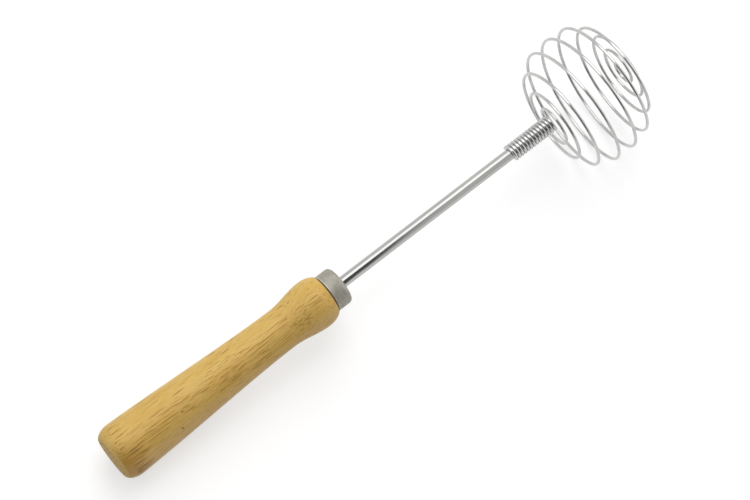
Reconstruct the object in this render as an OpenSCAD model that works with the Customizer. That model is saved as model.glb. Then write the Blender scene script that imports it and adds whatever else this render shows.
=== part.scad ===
// Wire ball whisk: a turned wood handle, a steel ferrule, a steel rod, and one spring wire
// that is wound first into a close collar on the rod and then into a ball.
// Each piece is drawn on the tool's own axis, with +X from the butt to the tip. lay() then
// sets the tool down on z = 0, resting on the fat end of the handle and on the ball.

/* [Handle] */
// Length of the bare wood, from the butt face to the ferrule
handle_l = 132; // [120:0.5:145]
// Diameter at the fattest place, beside the butt
butt_d = 29.2; // [27:0.1:32]
// Diameter of the flat butt face
butt_face_d = 20; // [16:0.5:24]
// Length of the rounding between the butt face and the fattest place
butt_round_l = 8; // [5:0.5:10]
// Diameter at the waist, the thinnest place
waist_d = 21.5; // [20:0.1:24]
// Distance of the waist from the butt face
waist_x = 104; // [98:0.5:108]
// Diameter at the shoulder, beside the ferrule
shoulder_d = 26.4; // [25:0.1:29]
// Length of the rounding from the shoulder down to the ferrule
shoulder_round_l = 7.5; // [6:0.5:10]

/* [Ferrule] */
// Outside diameter of the ferrule
ferrule_d = 20.3; // [19.5:0.1:22]
// Length of the ferrule
ferrule_l = 8.5; // [7:0.1:12]
// Thickness of the ferrule's sheet
ferrule_wall = 0.8; // [0.6:0.1:1.2]
// Outside radius of the ferrule's front corner
ferrule_corner = 1.8; // [1.4:0.1:3]
// Gap between the wood's shoulder and the ferrule's rear edge
seam_gap = 0.3; // [0.1:0.1:0.6]

/* [Rod] */
// Diameter of the rod
rod_d = 6; // [5:0.1:6.5]
// Length of bare rod between the ferrule and the collar
bare_rod_l = 107.5; // [90:0.1:125]
// Length of rod behind the ferrule's front face
tang_l = 62; // [40:1:80]
// Chamfer at both ends of the rod
rod_chamfer = 0.5; // [0.2:0.1:1]

/* [Collar] */
// Diameter of the whisk's wire
wire_d = 1.7; // [1.4:0.05:1.7]
// Turns of the collar round the rod
collar_turns = 13.5; // [8:0.5:14]
// Distance from turn to turn along the collar
collar_pitch = 1.9; // [1.9:0.05:2.5]
// Direction of the wire's cut end round the axis, from +Y towards +Z
cut_end_angle = 19.5; // [0:0.5:359.5]

/* [Ball] */
// Outside diameter of the ball
ball_d = 70; // [60:0.5:80]
// Length of the ball along the axis
ball_l = 47.2; // [42:0.2:56]
// Turns of the wire in the ball
ball_turns = 9.35; // [8.5:0.05:9.5]
// Radius of the ball's two shoulders, at the middle of the wire
ball_corner_r = 18; // [12:0.5:20]
// Radius at which the wire ends at the tip, at the middle of the wire
eye_r = 4.8; // [4:0.1:8]
// Bend radius where the wire leaves the rod, at the middle of the wire
leave_r = 0.8; // [0.5:0.1:2]
// Angle by which the loops lean from square to the axis
ball_lean = 2; // [0:0.5:4]
// Share by which the loops stand wider at the middle of the ball, and closer at its ends
loop_spread = 0.11; // [0:0.01:0.2]
// Share by which the loops stand wider on the rod's side of the ball, and closer on the tip's
loop_shift = 0.07; // [0:0.01:0.15]

/* [Hidden] */
$fn = 96;

wood_colour = [0.80, 0.65, 0.42];
satin_steel_colour = [0.60, 0.60, 0.58];
bright_steel_colour = [0.80, 0.80, 0.78];

// Stations along the axis
shoulder_x = handle_l - shoulder_round_l;
ferrule_x = handle_l + seam_gap;
ferrule_front_x = ferrule_x + ferrule_l;
collar_x = ferrule_front_x + bare_rod_l + wire_d / 2;
leave_x = collar_x + collar_turns * collar_pitch;
ball_base_x = leave_x + leave_r;
ball_tip_x = ball_base_x + ball_l - wire_d;

// Wood beside the ferrule, and the neck inside it
wood_lip_r = ferrule_d / 2 + 0.15;
neck_r = ferrule_d / 2 - ferrule_wall;
neck_l = ferrule_l + seam_gap - ferrule_wall;
neck_chamfer = ferrule_corner - ferrule_wall;
glue_room = 1;
bore_floor_x = ferrule_front_x - tang_l - glue_room;

// Exponent of the taper from the butt to the waist: nearly straight at first, then easing in
taper_power = 1.7;
// Straight waist between the taper and the flare
waist_l = 2;
profile_steps = 12;

// The wire's ball outline: bend off the rod, flat base, shoulder, side, shoulder, flat tip
coil_r = (rod_d + wire_d) / 2;
ball_r = (ball_d - wire_d) / 2;
bend_s = leave_r * PI / 2;
base_s = bend_s + ball_r - ball_corner_r - coil_r - leave_r;
shoulder_s = base_s + ball_corner_r * PI / 2;
side_s = shoulder_s + ball_tip_x - ball_base_x - 2 * ball_corner_r;
far_shoulder_s = side_s + ball_corner_r * PI / 2;
outline_s = far_shoulder_s + ball_r - ball_corner_r - eye_r;

// Rings of the wire's tube: 8 to a turn of the collar, 24 to a turn of the ball
tube_sides = 6;
collar_rings = 8;
ball_rings = 24;
// Part of a turn over which the wire eases from the collar's pitch to the ball's
ease_turns = 0.3;
ease_steps = 4;

function mean(v) = v * [for (i = v) 1] / len(v);
function unit(v) = v / norm(v);

// Handle outline, as [station, radius]
function butt_rounding(k) = [
    butt_round_l * (1 - cos(90 * k)),
    butt_face_d / 2 + (butt_d - butt_face_d) / 2 * sin(90 * k)
];
function grip_taper(k) = [
    butt_round_l + (waist_x - waist_l - butt_round_l) * k,
    waist_d / 2 + (butt_d - waist_d) / 2 * (1 + k) * pow(1 - k, taper_power)
];
function waist_flare(k) = [
    waist_x + (shoulder_x - waist_x) * k,
    waist_d / 2 + (shoulder_d - waist_d) / 4 * (1 - cos(180 * k))
];
function shoulder_rounding(k) = [
    shoulder_x + shoulder_round_l * sin(90 * k),
    wood_lip_r + (shoulder_d / 2 - wood_lip_r) * cos(90 * k)
];
steps = [for (i = [0 : profile_steps]) i / profile_steps];
handle_outline = concat(
    [[0, 0]],
    [for (k = steps) butt_rounding(k)],
    [for (k = steps) if (k > 0) grip_taper(k)],
    [for (k = steps) waist_flare(k)],
    [for (k = steps) if (k > 0) shoulder_rounding(k)],
    [
        [handle_l, neck_r],
        [handle_l + neck_l - neck_chamfer, neck_r],
        [handle_l + neck_l, neck_r - neck_chamfer],
        [handle_l + neck_l, 0]
    ]
);

// A point of the ball's outline, as [station, radius], at the distance s along it.
// Below s = 0 the wire is still on the rod.
function outline(s) =
    s < 0 ? [leave_x + s, coil_r]
    : s < bend_s ? let (a = s / leave_r * 180 / PI)
        [leave_x + leave_r * sin(a), coil_r + leave_r * (1 - cos(a))]
    : s < base_s ? [ball_base_x, coil_r + leave_r + s - bend_s]
    : s < shoulder_s ? let (a = (s - base_s) / ball_corner_r * 180 / PI)
        [ball_base_x + ball_corner_r * (1 - cos(a)), ball_r - ball_corner_r * (1 - sin(a))]
    : s < side_s ? [ball_base_x + ball_corner_r + s - shoulder_s, ball_r]
    : s < far_shoulder_s ? let (a = (s - side_s) / ball_corner_r * 180 / PI)
        [ball_tip_x - ball_corner_r * (1 - sin(a)), ball_r - ball_corner_r * (1 - cos(a))]
    : [ball_tip_x, ball_r - ball_corner_r - (s - far_shoulder_s)];

// Distance along the outline after a number of turns, before the easing
function wound(turns) =
    let (k = (turns - collar_turns) / ball_turns, q = min(k, 1))
    k < 0
        ? (turns - collar_turns) * collar_pitch
        : outline_s * (k - loop_spread * sin(360 * q) / (2 * PI) + loop_shift * pow(sin(180 * q), 2) / PI);
function eased(turns) =
    mean([for (i = [-ease_steps : ease_steps]) wound(turns + ease_turns * i / (2 * ease_steps))]);

// Middle of the wire after a number of turns from its cut end
function wire_point(turns) =
    let (
        at = outline(eased(turns)),
        angle = cut_end_angle + 360 * turns,
        lean = tan(ball_lean) * (at[1] - coil_r) * cos(360 * turns)
    )
    [at[0] + lean, at[1] * cos(angle), at[1] * sin(angle)];
function wire_heading(turns) = unit(wire_point(turns + 0.002) - wire_point(turns - 0.002));

// Six corners of the tube's ring round a point of the wire
function wire_ring(centre, heading, angle) =
    let (
        out = [0, cos(angle), sin(angle)],
        across = unit(out - (out * heading) * heading),
        along = cross(heading, across)
    )
    [
        for (i = [0 : tube_sides - 1])
            centre + wire_d / 2 * (cos(360 * i / tube_sides) * across + sin(360 * i / tube_sides) * along)
    ];
function ring_at(turns, straight = 0) =
    let (heading = wire_heading(turns))
    wire_ring(wire_point(turns) + straight * heading, heading, cut_end_angle + 360 * turns);

wire_turns = collar_turns + ball_turns;
collar_ring_count = round(collar_turns * collar_rings);
ball_ring_count = round(ball_turns * ball_rings);
ring_turns = concat(
    [for (i = [0 : collar_ring_count - 1]) collar_turns * i / collar_ring_count],
    [for (i = [0 : ball_ring_count]) collar_turns + ball_turns * i / ball_ring_count]
);
// Both ends of the wire run straight for one diameter of it
wire_rings = concat(
    [ring_at(0, -wire_d)],
    [for (turns = ring_turns) ring_at(turns)],
    [ring_at(wire_turns, wire_d)]
);

// Least distance between the corners of a ring and those of the next turn's rings
function gap_after(i) =
    min([
        for (j = [i : len(ring_turns) - 1])
            let (apart = ring_turns[j] - ring_turns[i])
                if (apart > 0.49 && apart < 1.51)
                    for (a = wire_rings[i + 1])
                        for (b = wire_rings[j + 1])
                            norm(a - b)
    ]);
function least_gap() =
    min([for (i = [0 : len(ring_turns) - 1]) if (ring_turns[i] < wire_turns - 0.6) gap_after(i)]);

// How the tool lies: on the fat end of the handle and on the lowest loop of the ball.
// lowest() picks the [station, height] that comes lowest when the axis climbs by a slope.
function lowest(points, slope) =
    let (least = min([for (p = points) p[1] + slope * p[0]]))
    [for (p = points) if (p[1] + slope * p[0] == least) p][0];
lie_slope = (ball_d - butt_d) / 2 / ((ball_base_x + ball_tip_x) / 2 - butt_round_l);
handle_foot = lowest([for (p = handle_outline) [p[0], -p[1]]], lie_slope);
ball_foot = lowest([for (ring = wire_rings) for (p = ring) [p[0], p[2]]], lie_slope);
lie_angle = atan2(handle_foot[1] - ball_foot[1], ball_foot[0] - handle_foot[0]);
axis_height = -handle_foot[1] * cos(lie_angle) - handle_foot[0] * sin(lie_angle);
overall_l = ball_tip_x + wire_d / 2;

module lay() {
    translate([-overall_l / 2 * cos(lie_angle), 0, axis_height])
        rotate([0, -lie_angle, 0])
            children();
}

// Turns a profile of [station, radius] points round the tool's axis
module turned(profile) {
    rotate([0, 90, 0])
        rotate_extrude()
            polygon([for (p = profile) [p[1], p[0]]]);
}

module tube(rings) {
    n = tube_sides;
    last = (len(rings) - 1) * n;
    polyhedron(
        points = [for (ring = rings) each ring],
        faces = concat(
            [for (i = [1 : n - 2]) [0, i, i + 1]],
            [
                for (first = [0 : n : last - n], i = [0 : n - 1])
                    let (a = first + i, b = first + (i + 1) % n)
                        each [[a, a + n, b], [b, a + n, b + n]]
            ],
            [for (i = [1 : n - 2]) [last, last + i + 1, last + i]]
        )
    );
}

module handle() {
    color(wood_colour)
        lay()
            difference() {
                turned(handle_outline);
                translate([bore_floor_x, 0, 0])
                    rotate([0, 90, 0])
                        cylinder(d = rod_d, h = tang_l + 2 * glue_room);
            }
}

module ferrule() {
    color(satin_steel_colour)
        lay()
            translate([ferrule_x, 0, 0])
                rotate([0, 90, 0])
                    rotate_extrude()
                        difference() {
                            rounded_front(ferrule_d / 2, ferrule_l, ferrule_corner);
                            translate([0, -1])
                                rounded_front(neck_r, ferrule_l - ferrule_wall + 1, neck_chamfer);
                            translate([-1, -1])
                                square([rod_d / 2 + 1, ferrule_l + 2]);
                        }
}

// Half section of a plug with a rounded front corner
module rounded_front(r, l, corner) {
    square([r, l - corner]);
    square([r - corner, l]);
    translate([r - corner, l - corner])
        circle(r = corner);
}

module rod() {
    x0 = ferrule_front_x - tang_l;
    x1 = leave_x;
    r = rod_d / 2;
    c = rod_chamfer;
    color(bright_steel_colour)
        lay()
            turned([[x0, 0], [x0, r - c], [x0 + c, r], [x1 - c, r], [x1, r - c], [x1, 0]]);
}

module whisk_wire() {
    echo(least_gap_of_wire_to_itself = least_gap());
    color(bright_steel_colour)
        lay()
            tube(wire_rings);
}

handle();
ferrule();
rod();
whisk_wire();
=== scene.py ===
import math

import bmesh
import bpy
from mathutils import Matrix, Vector


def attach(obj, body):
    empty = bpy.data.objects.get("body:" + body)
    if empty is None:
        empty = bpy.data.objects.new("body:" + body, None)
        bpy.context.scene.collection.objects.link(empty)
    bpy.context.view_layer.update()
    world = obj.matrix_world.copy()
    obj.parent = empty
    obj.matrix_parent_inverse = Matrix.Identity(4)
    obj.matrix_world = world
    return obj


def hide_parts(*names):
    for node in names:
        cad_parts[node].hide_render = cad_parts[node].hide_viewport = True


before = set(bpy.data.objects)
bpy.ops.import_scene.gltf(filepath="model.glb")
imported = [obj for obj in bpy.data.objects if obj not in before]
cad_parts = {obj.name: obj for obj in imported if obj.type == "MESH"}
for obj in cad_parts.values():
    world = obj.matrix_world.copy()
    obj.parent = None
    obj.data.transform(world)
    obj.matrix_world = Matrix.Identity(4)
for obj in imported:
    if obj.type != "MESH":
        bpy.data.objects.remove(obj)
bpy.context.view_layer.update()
scene = bpy.context.scene
mm = 0.001

# How the tool lies: its own axis starts at the middle of the butt and climbs to the ball
lying = {"start": (-160.581, 0, 14.0384), "climb": 4.0116}
layTurn = -math.radians(lying["climb"])
layStart = Vector(lying["start"]) * mm
layMatrix = Matrix.Translation(layStart) @ Matrix.Rotation(layTurn, 4, "Y")


# Camera

camera = {
    "place": (-0.36357, -0.45577, 1.29944),
    "azimuth": -38.686,
    "elevation": 65.229,
    "lens": 136.8,
    "sensor": 36,
    "clip": (0.01, 60),
}


def addCamera():
    data = bpy.data.cameras.new("camera")
    data.lens = camera["lens"]
    data.sensor_width = camera["sensor"]
    data.clip_start, data.clip_end = camera["clip"]
    item = bpy.data.objects.new("camera", data)
    item.location = camera["place"]
    item.rotation_euler = (
        math.radians(90 - camera["elevation"]),
        0,
        math.radians(camera["azimuth"]),
    )
    scene.collection.objects.link(item)
    scene.camera = item


# Shader helpers


def put(tree, kind, values=None, **settings):
    node = tree.nodes.new("ShaderNode" + kind)
    for key, value in settings.items():
        setattr(node, key, value)
    for socket, value in (values or {}).items():
        if isinstance(value, bpy.types.NodeSocket):
            tree.links.new(value, node.inputs[socket])
        else:
            node.inputs[socket].default_value = value
    return node


def sums(tree, operation, a, b=0.0, clamp=False):
    return put(tree, "Math", {0: a, 1: b}, operation=operation, use_clamp=clamp).outputs[0]


def times(tree, a, b):
    return sums(tree, "MULTIPLY", a, b)


def vectors(tree, operation, a, b, output=0):
    return put(tree, "VectorMath", {0: a, 1: b}, operation=operation).outputs[output]


def between(tree, value, low, high, toLow=0.0, toHigh=1.0, smooth=True):
    spread = {"Value": value, "From Min": low, "From Max": high, "To Min": toLow, "To Max": toHigh}
    kind = "SMOOTHSTEP" if smooth else "LINEAR"
    return put(tree, "MapRange", spread, interpolation_type=kind).outputs[0]


def blended(tree, share, first, second, kind="MIX"):
    node = put(tree, "Mix", {0: share, 6: first, 7: second}, data_type="RGBA", blend_type=kind)
    return node.outputs[2]


def newMaterial(name):
    material = bpy.data.materials.new(name)
    material.use_nodes = True
    return material, material.node_tree, material.node_tree.nodes["Principled BSDF"]


# Coordinates along the tool's own axis in millimetres, for the tool's materials
def toolSpace(tree):
    place = put(tree, "TexCoord").outputs["Object"]
    turned = put(tree, "Mapping", {"Vector": place}, vector_type="TEXTURE")
    turned.inputs["Location"].default_value = layStart
    turned.inputs["Rotation"].default_value = (0, layTurn, 0)
    turned.inputs["Scale"].default_value = (mm, mm, mm)
    return turned.outputs[0]


def stretched(tree, place, along, shift=(0, 0, 0)):
    node = put(tree, "Mapping", {"Vector": place, "Location": shift, "Scale": (1 / along, 1, 1)})
    return node.outputs[0]


# Wood

wood = {
    "pale": (0.695, 0.460, 0.122, 1),
    "golden": (0.655, 0.405, 0.090, 1),
    "streak": (0.395, 0.205, 0.022, 1),
    # Lower side's tone: partly the wood's own pink tint, partly painted light from the floor,
    # lighter and paler
    "pinkAndBounceLight": (0.722, 0.465, 0.168, 1),
    "endGrain": (0.700, 0.490, 0.180, 1),
    "knot": (0.220, 0.100, 0.030, 1),
    "pore": (0.250, 0.118, 0.016, 1),
    # Painted shade: dark brown where the gap by the ferrule lies in shadow
    "jointShade": (0.110, 0.065, 0.025, 1),
    # Darker, warmer wood towards the butt, strongest on the lower side
    "warmEnd": (0.400, 0.195, 0.025, 1),
    # Noises: stretch along the grain, scale, detail and shift
    "strayNoise": (4, 0.07, 0.0, (5, 40, 9)),
    "broadNoise": (6, 0.16, 3.0),
    "lineNoise": (40, 2.1, 2.0, (0, 11, 3)),
    "hairNoise": (26, 3.2, 2.0, (7, 0, 19)),
    "dashNoise": (12, 0.8, 1.0, (2, 6, 4)),
    # Spots: distance apart, stretch along the grain, size and shift
    "longPores": (1.2, 36, 0.26, (0, 0, 0)),
    "shortPores": (1.0, 14, 0.18, (13, 5, 9)),
    "flecks": (3.0, 2.0, 0.18, (3, 8, 2)),
    "spotEdge": 0.6,  # share of a spot's size where it starts to fade
    "wander": (0, 3.5, 3.5),  # how far the fibres stray, in millimetres
    # The dark growth layer, in millimetres across the handle
    "layerFacing": (0, -0.943, -0.3315),  # square to the layer
    "layerBegins": (-6.0, -1.0),
    "layerEnds": (6.0, 9.0),
    "beyondLayer": (6.5, 10.5),
    "goldenInside": 0.55,
    "pinkBeyond": 0.8,
    "streaksInside": 0.09,  # raises the noise of the streaks there
    "poresLostInside": 0.35,
    "poresLostBeyond": 0.75,
    # Levels of a noise between which an effect sets in
    "goldenCuts": (0.42, 0.66),
    "streakCuts": (0.63, 0.71),
    "hairCuts": (0.52, 0.66),
    "dashCuts": (0.56, 0.63),
    "crowdCuts": (0.35, 0.65),
    "crowdKeep": (0.62, 0.42),  # a higher level leaves fewer pores
    "fleckKeep": 0.5,
    "heart": (0, 42, 15),  # middle of the growth rings
    "ringDensity": 2.6,
    "ringCuts": (0.1, 1.0),
    # Stretches along the handle, in millimetres from the butt
    "rings": (0.1, 0.8),
    "buttGrain": (0.9, 2.4),
    "buttRough": (0.3, 3.0),
    "warm": (4, 18),
    "dashesBegin": (4, 6.5),
    "dashesEnd": (10, 19),
    "flecksBegin": (100, 112),
    "calm": (102, 112),
    "front": (126, 130),
    # Painted shade: the shoulder's last half millimetre, by the ferrule
    "shadedSeam": (131.2, 131.7),
    "warmAcross": (-5, 6),  # this one across the handle
    # How strong the effects are
    "ringShare": 0.4,
    "hairShare": 0.35,
    "buttGrainShare": 0.8,
    "warmShare": 0.55,
    "warmLeast": 0.05,
    "dashShare": 0.7,
    "fleckShare": 0.55,
    "calmShare": 0.9,
    "frontShare": 0.15,
    "poreShare": 0.95,
    "shortPoreShare": 0.7,
    "roughness": (0.42, 0.56),
    "roughCuts": (0.35, 0.7),
    "buttDry": 0.35,
    "hairHeight": 0.35,
    "poreDepth": 0.4,
    "bump": 0.0002,
    "gloss": 0.3,
    "lacquer": 0.08,
    "lacquerRoughness": 0.35,
    "speckEdge": 0.4,
    # Each speck's place, radius and share
    "specks": (((39.3, -6.7, 11.5), 1.0, 0.6), ((35.0, -11.7, 6.6), 0.75, 1.0)),
}


def noiseAt(tree, place, along, scale, detail=2.0, shift=(0, 0, 0)):
    values = {"Vector": stretched(tree, place, along, shift), "Scale": scale, "Detail": detail}
    return put(tree, "TexNoise", values)


def poreLayer(tree, place, keep, cell, along, size, shift):
    spots = put(
        tree,
        "TexVoronoi",
        {"Vector": stretched(tree, place, along, shift), "Scale": 1 / cell, "Randomness": 1.0},
    )
    fades = size * wood["spotEdge"]
    thin = between(tree, spots.outputs["Distance"], fades, size, 1.0, 0.0)
    pick = put(tree, "SeparateColor", {0: spots.outputs["Color"]}).outputs[0]
    return times(tree, thin, sums(tree, "GREATER_THAN", pick, keep))


# The fibres wander a little
def fibrePlace(tree, straight):
    stray = noiseAt(tree, straight, *wood["strayNoise"]).outputs["Color"]
    sway = vectors(tree, "SUBTRACT", stray, (0.5, 0.5, 0.5))
    swing = vectors(tree, "MULTIPLY", sway, wood["wander"])
    return vectors(tree, "ADD", straight, swing)


# Growth rings on the butt's face, round a heart beside the handle
def growthRings(tree, place, along):
    across = vectors(tree, "MULTIPLY", place, (0, 1, 1))
    ring = vectors(tree, "DISTANCE", across, wood["heart"], "Value")
    wave = sums(tree, "SINE", times(tree, ring, wood["ringDensity"]))
    arcs = between(tree, wave, *wood["ringCuts"], 0.0, wood["ringShare"])
    return times(tree, arcs, between(tree, along, *wood["rings"], 1.0, 0.0))


# Fewer pores in the dark growth layer, fewer still beyond it, and hardly any by the ferrule
def poreMask(tree, place, broad, inside, beyond, front, calm):
    crowd = between(tree, broad, *wood["crowdCuts"], *wood["crowdKeep"])
    long = poreLayer(tree, place, crowd, *wood["longPores"])
    short = poreLayer(tree, place, crowd, *wood["shortPores"])
    pores = sums(tree, "MAXIMUM", long, times(tree, short, wood["shortPoreShare"]))
    lostBeyond = times(tree, beyond, wood["poresLostBeyond"])
    lostInside = times(tree, inside, wood["poresLostInside"])
    lost = sums(tree, "ADD", lostBeyond, lostInside)
    pores = times(tree, pores, sums(tree, "SUBTRACT", 1.0, lost, True))
    return times(tree, pores, times(tree, front, calm))


# Short dark streaks beside the butt
def buttDashes(tree, place, along):
    dashes = noiseAt(tree, place, *wood["dashNoise"]).outputs[0]
    dashes = between(tree, dashes, *wood["dashCuts"], 0.0, wood["dashShare"])
    dashes = times(tree, dashes, between(tree, along, *wood["dashesBegin"]))
    return times(tree, dashes, between(tree, along, *wood["dashesEnd"], 1.0, 0.0))


# A darker growth layer runs through the middle of the handle
def woodMaterial():
    material, tree, shader = newMaterial("turnedWood")
    straight = toolSpace(tree)
    along = put(tree, "SeparateXYZ", {0: straight}).outputs[0]
    place = fibrePlace(tree, straight)
    layer = vectors(tree, "DOT_PRODUCT", place, wood["layerFacing"], "Value")
    begins = between(tree, layer, *wood["layerBegins"])
    inside = times(tree, begins, between(tree, layer, *wood["layerEnds"], 1.0, 0.0))
    beyond = between(tree, layer, *wood["beyondLayer"])
    broad = noiseAt(tree, place, *wood["broadNoise"]).outputs[0]
    lines = noiseAt(tree, place, *wood["lineNoise"]).outputs[0]
    hairs = noiseAt(tree, place, *wood["hairNoise"]).outputs[0]
    tone = blended(tree, between(tree, broad, *wood["goldenCuts"]), wood["pale"], wood["golden"])
    tone = blended(tree, times(tree, inside, wood["goldenInside"]), tone, wood["golden"])
    # The lower side is painted pinker and lighter: partly the wood's tint, partly painted light
    # from the floor
    tone = blended(tree, times(tree, beyond, wood["pinkBeyond"]), tone, wood["pinkAndBounceLight"])

    lift = sums(tree, "ADD", lines, times(tree, inside, wood["streaksInside"]))
    calm = between(tree, along, *wood["calm"], 1.0, wood["calmShare"])
    bold = between(tree, lift, *wood["streakCuts"])
    fine = between(tree, hairs, *wood["hairCuts"], 0.0, wood["hairShare"])
    streaks = sums(tree, "MAXIMUM", bold, fine)
    tone = blended(tree, times(tree, streaks, calm), tone, wood["streak"])

    # Darker, warmer towards the butt, strongest on the lower side
    warmth = between(tree, along, *wood["warm"], wood["warmShare"], 0.0)
    across = between(tree, layer, *wood["warmAcross"], wood["warmLeast"], 1.0)
    warmth = times(tree, warmth, across)
    tone = blended(tree, warmth, tone, wood["warmEnd"])
    buttGrain = between(tree, along, *wood["buttGrain"], wood["buttGrainShare"], 0.0)
    tone = blended(tree, buttGrain, tone, wood["endGrain"])
    tone = blended(tree, growthRings(tree, place, along), tone, wood["streak"])

    front = between(tree, along, *wood["front"], 1.0, wood["frontShare"])
    pores = poreMask(tree, place, broad, inside, beyond, front, calm)
    tone = blended(tree, times(tree, pores, wood["poreShare"]), tone, wood["pore"])
    flecks = poreLayer(tree, place, wood["fleckKeep"], *wood["flecks"])
    shown = between(tree, along, *wood["flecksBegin"], 0.0, wood["fleckShare"])
    flecks = times(tree, times(tree, flecks, shown), front)
    tone = blended(tree, flecks, tone, wood["pore"])
    tone = blended(tree, buttDashes(tree, place, along), tone, wood["pore"])
    for centre, radius, share in wood["specks"]:
        off = vectors(tree, "DISTANCE", straight, centre, "Value")
        speck = between(tree, off, radius * wood["speckEdge"], radius, share, 0.0)
        tone = blended(tree, speck, tone, wood["knot"])
    # Painted shade in the gap by the ferrule: the shoulder's last half millimetre is darkened
    tone = blended(tree, between(tree, along, *wood["shadedSeam"]), tone, wood["jointShade"])
    tree.links.new(tone, shader.inputs["Base Color"])

    rough = between(tree, hairs, *wood["roughCuts"], *wood["roughness"])
    dry = between(tree, along, *wood["buttRough"], wood["buttDry"], 0.0)
    tree.links.new(sums(tree, "ADD", rough, dry), shader.inputs["Roughness"])
    raised, sunk = times(tree, hairs, wood["hairHeight"]), times(tree, pores, wood["poreDepth"])
    height = sums(tree, "SUBTRACT", raised, sunk)
    relief = {"Strength": 0.3, "Distance": wood["bump"], "Height": height}
    tree.links.new(put(tree, "Bump", relief).outputs[0], shader.inputs["Normal"])
    shader.inputs["Specular IOR Level"].default_value = wood["gloss"]
    shader.inputs["Coat Weight"].default_value = wood["lacquer"]
    shader.inputs["Coat Roughness"].default_value = wood["lacquerRoughness"]
    return material


# Metals

satinSteel = {
    "colour": (0.40, 0.385, 0.335, 1),
    "dull": (0.372, 0.354, 0.310, 1),
    "roughness": (0.64, 0.72),
    # Painted highlight along the ferrule's rear edge, where the rounded edge catches light, with
    # some polish
    "rimHighlight": (132.5, 133.0, (0.72, 0.69, 0.60, 1)),  # a lighter rear edge
    "stretch": 0.5,
    "hazeScale": 0.25,
    "scratchScale": 1.6,
    "depth": 0.00005,
}
brightSteel = {
    "colour": (0.47, 0.47, 0.455, 1),
    "dull": (0.43, 0.43, 0.42, 1),
    "roughness": (0.06, 0.12),
    "stretch": 12,
    "hazeScale": 0.3,
    "scratchScale": 2.5,
    "depth": 0.00002,
}
springSteel = {
    "colour": (0.54, 0.54, 0.53, 1),
    "dull": (0.48, 0.48, 0.475, 1),
    "roughness": (0.05, 0.11),
    "stretch": 1,
    "hazeScale": 0.15,
    "scratchScale": 1.2,
    "depth": 0.00002,
}

# Marks of handling on every metal: the input that sets their scale, the detail of their noise
# and the levels between which they show
handlingMarks = {
    "Haze": {"scale": "Scale", "detail": 4, "cuts": (0.35, 0.68)},
    "Scratches": {"scale": "Scratch Scale", "detail": 2, "cuts": (0.5, 0.75)},
}


def handlingGroup():
    group = bpy.data.node_groups.new("handling", "ShaderNodeTree")
    for name, kind in (("Vector", "Vector"), ("Scale", "Float"), ("Scratch Scale", "Float")):
        group.interface.new_socket(name=name, in_out="INPUT", socket_type="NodeSocket" + kind)
    for name in handlingMarks:
        group.interface.new_socket(name=name, in_out="OUTPUT", socket_type="NodeSocketFloat")
    start = group.nodes.new("NodeGroupInput")
    end = group.nodes.new("NodeGroupOutput")
    for name, mark in handlingMarks.items():
        values = {
            "Vector": start.outputs["Vector"],
            "Scale": start.outputs[mark["scale"]],
            "Detail": mark["detail"],
        }
        noise = put(group, "TexNoise", values).outputs[0]
        group.links.new(between(group, noise, *mark["cuts"]), end.inputs[name])
    return group


def metalMaterial(name, finish):
    material, tree, shader = newMaterial(name)
    straight = toolSpace(tree)
    place = stretched(tree, straight, finish["stretch"])
    marks = put(tree, "Group", node_tree=handling)
    marks.inputs["Scale"].default_value = finish["hazeScale"]
    marks.inputs["Scratch Scale"].default_value = finish["scratchScale"]
    tree.links.new(place, marks.inputs["Vector"])
    colour = blended(tree, marks.outputs["Haze"], finish["colour"], finish["dull"])
    # Painted highlight: the ferrule's rear edge is given a lighter colour
    if "rimHighlight" in finish:
        start, end, highlightTint = finish["rimHighlight"]
        side = put(tree, "SeparateXYZ", {0: straight}).outputs[0]
        colour = blended(tree, between(tree, side, start, end, 1.0, 0.0), colour, highlightTint)
    tree.links.new(colour, shader.inputs["Base Color"])
    low, high = finish["roughness"]
    rough = between(tree, marks.outputs["Haze"], 0.0, 1.0, low, high)
    tree.links.new(rough, shader.inputs["Roughness"])
    relief = {"Strength": 0.3, "Distance": finish["depth"], "Height": marks.outputs["Scratches"]}
    tree.links.new(put(tree, "Bump", relief).outputs[0], shader.inputs["Normal"])
    shader.inputs["Metallic"].default_value = 1.0
    return material


# Turned pieces


# Spins an outline of (station, radius) points in millimetres round the tool's axis
def turnedPiece(name, outline, sizes, corners=(), closed=False):
    bm = bmesh.new()
    points = [bm.verts.new((x * mm, 0, r * mm)) for x, r in outline]
    ends = points + points[:1] if closed else points
    for a, b in zip(ends, ends[1:]):
        bm.edges.new((a, b))
    for index, radius in corners:
        bmesh.ops.bevel(
            bm,
            geom=[points[index]],
            offset=radius * mm,
            offset_type="OFFSET",
            segments=8,
            profile=0.5,
            affect="VERTICES",
            material=-1,
        )
    for edge in list(bm.edges):
        cuts = int(edge.calc_length() / (sizes["longest"] * mm))
        if cuts:
            bmesh.ops.subdivide_edges(bm, edges=[edge], cuts=cuts)
    bmesh.ops.spin(
        bm,
        geom=list(bm.verts) + list(bm.edges),
        cent=(0, 0, 0),
        axis=(1, 0, 0),
        angle=math.tau,
        steps=sizes["segments"],
        use_merge=True,
    )
    return finishPiece(name, bm)


def finishPiece(name, bm):
    bmesh.ops.remove_doubles(bm, verts=bm.verts, dist=1e-6)
    bmesh.ops.recalc_face_normals(bm, faces=bm.faces)
    bmesh.ops.transform(bm, matrix=layMatrix, verts=bm.verts)
    for face in bm.faces:
        face.smooth = True
    for edge in bm.edges:
        edge.smooth = edge.calc_face_angle(0) < math.radians(30)
    mesh = bpy.data.meshes.new(name)
    bm.to_mesh(mesh)
    bm.free()
    piece = bpy.data.objects.new(name, mesh)
    scene.collection.objects.link(piece)
    return piece


def dress(piece, material, node):
    piece.data.materials.append(material)
    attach(piece, "root")
    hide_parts(node)
    print("made", piece.name, len(piece.data.polygons), "faces")


# Handle

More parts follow.
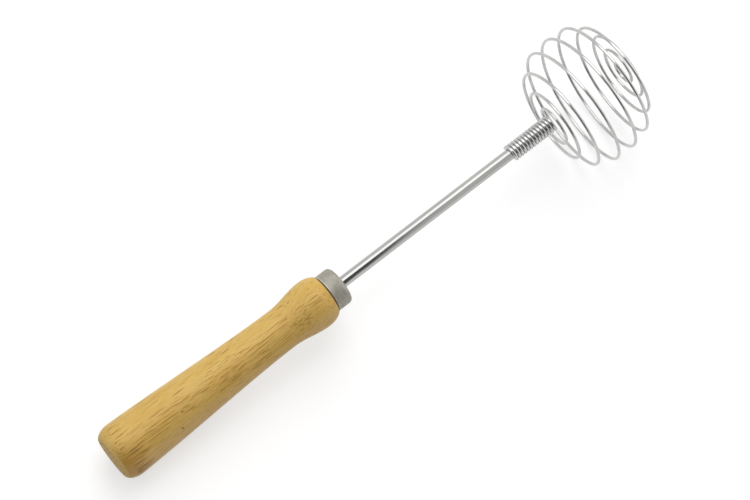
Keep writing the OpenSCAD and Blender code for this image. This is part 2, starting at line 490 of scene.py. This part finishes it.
handle = {
    "length": 132.0,
    "fat": 29.2,
    "face": 20.0,
    "buttRounding": 8.0,
    "waist": 21.5,
    "waistAt": 104.0,
    "straight": 2.0,
    "taper": 1.7,
    "shoulder": 26.4,
    "shoulderRounding": 8.0,
    "shoulderTurn": 61,
    "lip": 10.3,
    "neck": 9.35,
    "neckEnd": 140.0,
    "neckChamfer": 1.0,
    "boreFloor": 77.8,
    "arcSteps": 24,
    "segments": 128,
    "longest": 1.2,  # longest face along the axis
}


def handleOutline():
    h = handle
    shoulderAt = h["length"] - h["shoulderRounding"]
    fine = [i / h["arcSteps"] for i in range(h["arcSteps"] + 1)]
    face, fat, waist, shoulder = h["face"] / 2, h["fat"] / 2, h["waist"] / 2, h["shoulder"] / 2
    rows = [(0, 0)]
    for k in fine:
        a = k * math.pi / 2
        rows.append((h["buttRounding"] * (1 - math.cos(a)), face + (fat - face) * math.sin(a)))
    run = h["waistAt"] - h["straight"] - h["buttRounding"]
    for k in fine[1:]:
        taper = (1 + k) * (1 - k) ** h["taper"]
        rows.append((h["buttRounding"] + run * k, waist + (fat - waist) * taper))
    for k in fine:
        flare = (shoulder - waist) / 2 * (1 - math.cos(math.pi * k))
        rows.append((h["waistAt"] + (shoulderAt - h["waistAt"]) * k, waist + flare))
    turn = math.radians(h["shoulderTurn"])
    for k in fine[1:]:
        a = k * turn
        drop = (1 - math.cos(a)) / (1 - math.cos(turn))
        run = h["shoulderRounding"] * math.sin(a) / math.sin(turn)
        rows.append((shoulderAt + run, shoulder - (shoulder - h["lip"]) * drop))
    tip, neck, chamfer, bore = h["neckEnd"], h["neck"], h["neckChamfer"], rod["width"] / 2
    rows += [(h["length"], neck), (tip - chamfer, neck), (tip, neck - chamfer)]
    rows += [(tip, bore), (h["boreFloor"], bore), (h["boreFloor"], 0)]
    return rows


# Ferrule

ferrule = {
    "rear": 132.3,
    "front": 140.8,
    "width": 20.3,
    "wall": 0.8,
    "corners": ((0, 0.4), (1, 2.3), (2, 0.25), (4, 1.5), (5, 0.2)),  # outline point, rounding
    "segments": 128,
    "longest": 0.4,
}


def ferruleOutline():
    f = ferrule
    out, inner, hole = f["width"] / 2, f["width"] / 2 - f["wall"], rod["width"] / 2
    return [
        (f["rear"], out),
        (f["front"], out),
        (f["front"], hole),
        (f["front"] - f["wall"], hole),
        (f["front"] - f["wall"], inner),
        (f["rear"], inner),
    ]


# Rod

rod = {
    "width": 6.0,
    "tail": 78.8,
    "front": 274.8,
    "chamfer": 0.5,
    "segments": 64,
    "longest": 2.0,
}


def rodOutline():
    r, c = rod["width"] / 2, rod["chamfer"]
    x0, x1 = rod["tail"], rod["front"]
    return [(x0, 0), (x0, r - c), (x0 + c, r), (x1 - c, r), (x1, r - c), (x1, 0)]


# Wire: a close collar round the rod, a flat spiral, the ball, and a flat spiral round the eye

wire = {
    "width": 1.7,
    "collarTurns": 13.5,
    "collarPitch": 1.9,
    "cutEnd": 19.5,
    "ball": 70.0,
    "ballLength": 47.2,
    "ballTurns": 9.35,
    "ballCorner": 18.0,
    "eye": 4.8,
    "bend": 0.8,
    "lean": 2.0,
    "spread": 0.11,
    "shift": 0.07,
    "ease": 0.3,  # part of a turn over which the pitch changes
    "easeSteps": 4,
    "nudge": 0.002,  # part of a turn that gives the wire's heading at its ends
    "collarSteps": 48,
    "ballSteps": 120,
    "roundness": 6,
    "collarSwell": 1.115,  # the collar's turns touch, and the ball's wire is drawn a little thinner
    "ballSwell": 0.98,
    "swellReach": 9,
}


def wirePath():
    w = wire
    coil = (rod["width"] + w["width"]) / 2
    reach = (w["ball"] - w["width"]) / 2
    corner, bend = w["ballCorner"], w["bend"]
    leave = rod["front"]
    base = leave + bend
    tip = base + w["ballLength"] - w["width"]
    quarter = math.pi / 2
    bendEnd = bend * quarter
    baseEnd = bendEnd + reach - corner - coil - bend
    shoulderEnd = baseEnd + corner * quarter
    sideEnd = shoulderEnd + tip - base - 2 * corner
    farEnd = sideEnd + corner * quarter
    outlineEnd = farEnd + reach - corner - w["eye"]

    def outline(s):
        if s < 0:
            return leave + s, coil
        if s < bendEnd:
            a = s / bend
            return leave + bend * math.sin(a), coil + bend * (1 - math.cos(a))
        if s < baseEnd:
            return base, coil + bend + s - bendEnd
        if s < shoulderEnd:
            a = (s - baseEnd) / corner
            return base + corner * (1 - math.cos(a)), reach - corner * (1 - math.sin(a))
        if s < sideEnd:
            return base + corner + s - shoulderEnd, reach
        if s < farEnd:
            a = (s - sideEnd) / corner
            return tip - corner * (1 - math.sin(a)), reach - corner * (1 - math.cos(a))
        return tip, reach - corner - (s - farEnd)

    def wound(turns):
        k = (turns - w["collarTurns"]) / w["ballTurns"]
        if k < 0:
            return (turns - w["collarTurns"]) * w["collarPitch"]
        q = min(k, 1)
        wider = w["spread"] * math.sin(math.tau * q) / math.tau
        return outlineEnd * (k - wider + w["shift"] * math.sin(math.pi * q) ** 2 / math.pi)

    def at(turns):
        n = w["easeSteps"]
        s = sum(wound(turns + w["ease"] * i / (2 * n)) for i in range(-n, n + 1)) / (2 * n + 1)
        x, r = outline(s)
        angle = math.radians(w["cutEnd"]) + math.tau * turns
        lean = math.tan(math.radians(w["lean"])) * (r - coil) * math.cos(math.tau * turns)
        return Vector((x + lean, r * math.cos(angle), r * math.sin(angle)))

    total = w["collarTurns"] + w["ballTurns"]
    collarCount = round(w["collarTurns"] * w["collarSteps"])
    ballCount = round(w["ballTurns"] * w["ballSteps"])
    turns = [w["collarTurns"] * i / collarCount for i in range(collarCount)]
    turns += [w["collarTurns"] + w["ballTurns"] * i / ballCount for i in range(ballCount + 1)]
    path = [at(t) for t in turns]
    first = (at(0) - at(w["nudge"])).normalized() * w["width"]
    last = (at(total) - at(total - w["nudge"])).normalized() * w["width"]
    return [path[0] + first] + path + [path[-1] + last]


def wireTube():
    w = wire
    path = wirePath()
    curve = bpy.data.curves.new("wireCurve", "CURVE")
    curve.dimensions = "3D"
    curve.bevel_depth = w["width"] / 2 * mm
    curve.bevel_resolution = w["roundness"]
    curve.use_fill_caps = True
    line = curve.splines.new("POLY")
    line.points.add(len(path) - 1)
    line.points.foreach_set("co", [v for p in path for v in (*(p * mm), 1)])
    swell = [w["collarSwell"] if p.x < rod["front"] else w["ballSwell"] for p in path]
    reach = w["swellReach"]
    near = [swell[max(i - reach, 0) : i + reach + 1] for i in range(len(path))]
    line.points.foreach_set("radius", [sum(group) / len(group) for group in near])
    item = bpy.data.objects.new("wireCurve", curve)
    scene.collection.objects.link(item)
    bpy.context.view_layer.update()
    bm = bmesh.new()
    evaluated = item.evaluated_get(bpy.context.evaluated_depsgraph_get())
    mesh = bpy.data.meshes.new_from_object(evaluated)
    bm.from_mesh(mesh)
    bpy.data.objects.remove(item)
    return finishPiece("whiskWire", bm)


# Stage: a pale floor, white surroundings and two area lamps. The steel's light and dark bands
# come from a bright panel and two graded cards that only reflections see.

stage = {
    "floor": 0.50,
    "floorSize": 15,
    "floorDrop": 0.0003,
    "floorGlow": (0.59, 0.80),  # near the object and far from it
    "glowReach": (0.35, 2.0),
    "around": 0.50,
    "softbox": {"place": (0.60, 0.42, 1.94), "size": 1.5, "power": 14.6},
    "aim": (0, 0, 0.03),
    "panel": {
        "place": (0.38, 0.50, 1.94),
        "size": (6.0, 1.5),
        "offset": 0,
        "tones": ((0, 2.15),),
    },
    "key": {"place": (1.0, 1.5, 1.30), "size": 1.4, "power": 15.5},
    "card": {
        "place": (0, -0.65, 0.65),
        "size": (2.9, 1.28),
        "offset": 0.02,
        "tones": (
            (0, 0.01),
            (0.12, 0.12),
            (0.142, 0.13),
            (0.178, 0.60),
            (0.21, 0.76),
            (0.36, 0.76),
            (0.44, 1.8),
        ),
    },
    "lowCard": {
        "place": (0, -0.25, 0.05),
        "size": (1.2, 0.10),
        "offset": -0.44,
        "tones": ((0, 0.01), (0.012, 0.01), (0.030, 0.8)),
    },
}


def seenShare(tree):
    path = put(tree, "LightPath")
    seen = sums(tree, "MAXIMUM", path.outputs["Is Camera Ray"], path.outputs["Is Glossy Ray"])
    return sums(tree, "MAXIMUM", seen, path.outputs["Is Transmission Ray"])


def addFloor():
    bm = bmesh.new()
    bmesh.ops.create_grid(bm, x_segments=1, y_segments=1, size=stage["floorSize"])
    bmesh.ops.translate(bm, vec=(0, 0, -stage["floorDrop"]), verts=bm.verts)
    mesh = bpy.data.meshes.new("floor")
    bm.to_mesh(mesh)
    bm.free()
    floor = bpy.data.objects.new("floor", mesh)
    scene.collection.objects.link(floor)
    material, tree, shader = newMaterial("paleFloor")
    shade = stage["floor"]
    shader.inputs["Base Color"].default_value = (shade, shade, shade, 1)
    shader.inputs["Roughness"].default_value = 1.0
    shader.inputs["Specular IOR Level"].default_value = 0.0
    shader.inputs["Emission Color"].default_value = (1, 1, 1, 1)
    place = put(tree, "TexCoord").outputs["Object"]
    away = put(tree, "VectorMath", {0: place}, operation="LENGTH").outputs["Value"]
    near, far = stage["floorGlow"]
    glow = between(tree, away, *stage["glowReach"], near, far)
    glow = times(tree, seenShare(tree), glow)
    tree.links.new(glow, shader.inputs["Emission Strength"])
    mesh.materials.append(material)


def addWorld():
    world = bpy.data.worlds.new("surroundings")
    world.use_nodes = True
    tree = world.node_tree
    back = tree.nodes["Background"]
    back.inputs["Color"].default_value = (1, 1, 1, 1)
    strength = between(tree, seenShare(tree), 0.0, 1.0, stage["around"], 1.0, False)
    tree.links.new(strength, back.inputs["Strength"])
    scene.world = world


def aimAt(item, place, target):
    item.location = place
    item.rotation_euler = (Vector(target) - Vector(place)).to_track_quat("-Z", "Y").to_euler()


def addLight(name, place, size, power):
    data = bpy.data.lights.new(name, "AREA")
    data.shape = "SQUARE"
    data.size = size
    data.energy = power
    lamp = bpy.data.objects.new(name, data)
    aimAt(lamp, place, stage["aim"])
    lamp.visible_camera = False
    lamp.visible_glossy = False
    scene.collection.objects.link(lamp)


# A sheet that only reflections see: its tone changes from step to step along its width
def addSheet(name, sheet):
    width, height = sheet["size"]
    bm = bmesh.new()
    bmesh.ops.create_grid(bm, x_segments=1, y_segments=1, size=0.5)
    bmesh.ops.scale(bm, vec=(width, height, 1), verts=bm.verts)
    bmesh.ops.translate(bm, vec=(sheet["offset"], 0, 0), verts=bm.verts)
    mesh = bpy.data.meshes.new(name)
    bm.to_mesh(mesh)
    bm.free()
    item = bpy.data.objects.new(name, mesh)
    scene.collection.objects.link(item)
    aimAt(item, sheet["place"], (sheet["place"][0], 0, stage["aim"][2]))
    material, tree, shader = newMaterial(name + "Tone")
    side = put(tree, "SeparateXYZ", {0: put(tree, "TexCoord").outputs["Object"]}).outputs[0]
    steps = sheet["tones"]
    tone = sums(tree, "ADD", steps[0][1])
    for (x0, t0), (x1, t1) in zip(steps, steps[1:]):
        tone = sums(tree, "ADD", tone, between(tree, side, x0, x1, 0.0, t1 - t0))
    shader.inputs["Base Color"].default_value = (0, 0, 0, 1)
    shader.inputs["Specular IOR Level"].default_value = 0.0
    shader.inputs["Emission Color"].default_value = (1, 1, 1, 1)
    tree.links.new(tone, shader.inputs["Emission Strength"])
    mesh.materials.append(material)
    for ray in ("camera", "diffuse", "shadow", "transmission", "volume_scatter"):
        setattr(item, "visible_" + ray, False)


addCamera()
handling = handlingGroup()
dress(turnedPiece("handleWood", handleOutline(), handle), woodMaterial(), "handle")
dress(
    turnedPiece("ferruleCap", ferruleOutline(), ferrule, ferrule["corners"], True),
    metalMaterial("satinSteel", satinSteel),
    "ferrule",
)
dress(
    turnedPiece("rodSteel", rodOutline(), rod),
    metalMaterial("brightSteel", brightSteel),
    "rod",
)
dress(wireTube(), metalMaterial("springSteel", springSteel), "whisk_wire")
addFloor()
addWorld()
for lamp in ("softbox", "key"):
    addLight(lamp, **stage[lamp])
addSheet("brightPanel", stage["panel"])
addSheet("darkCard", stage["card"])
addSheet("lowCard", stage["lowCard"])
scene.view_settings.view_transform = "Standard"
print("stage ready")
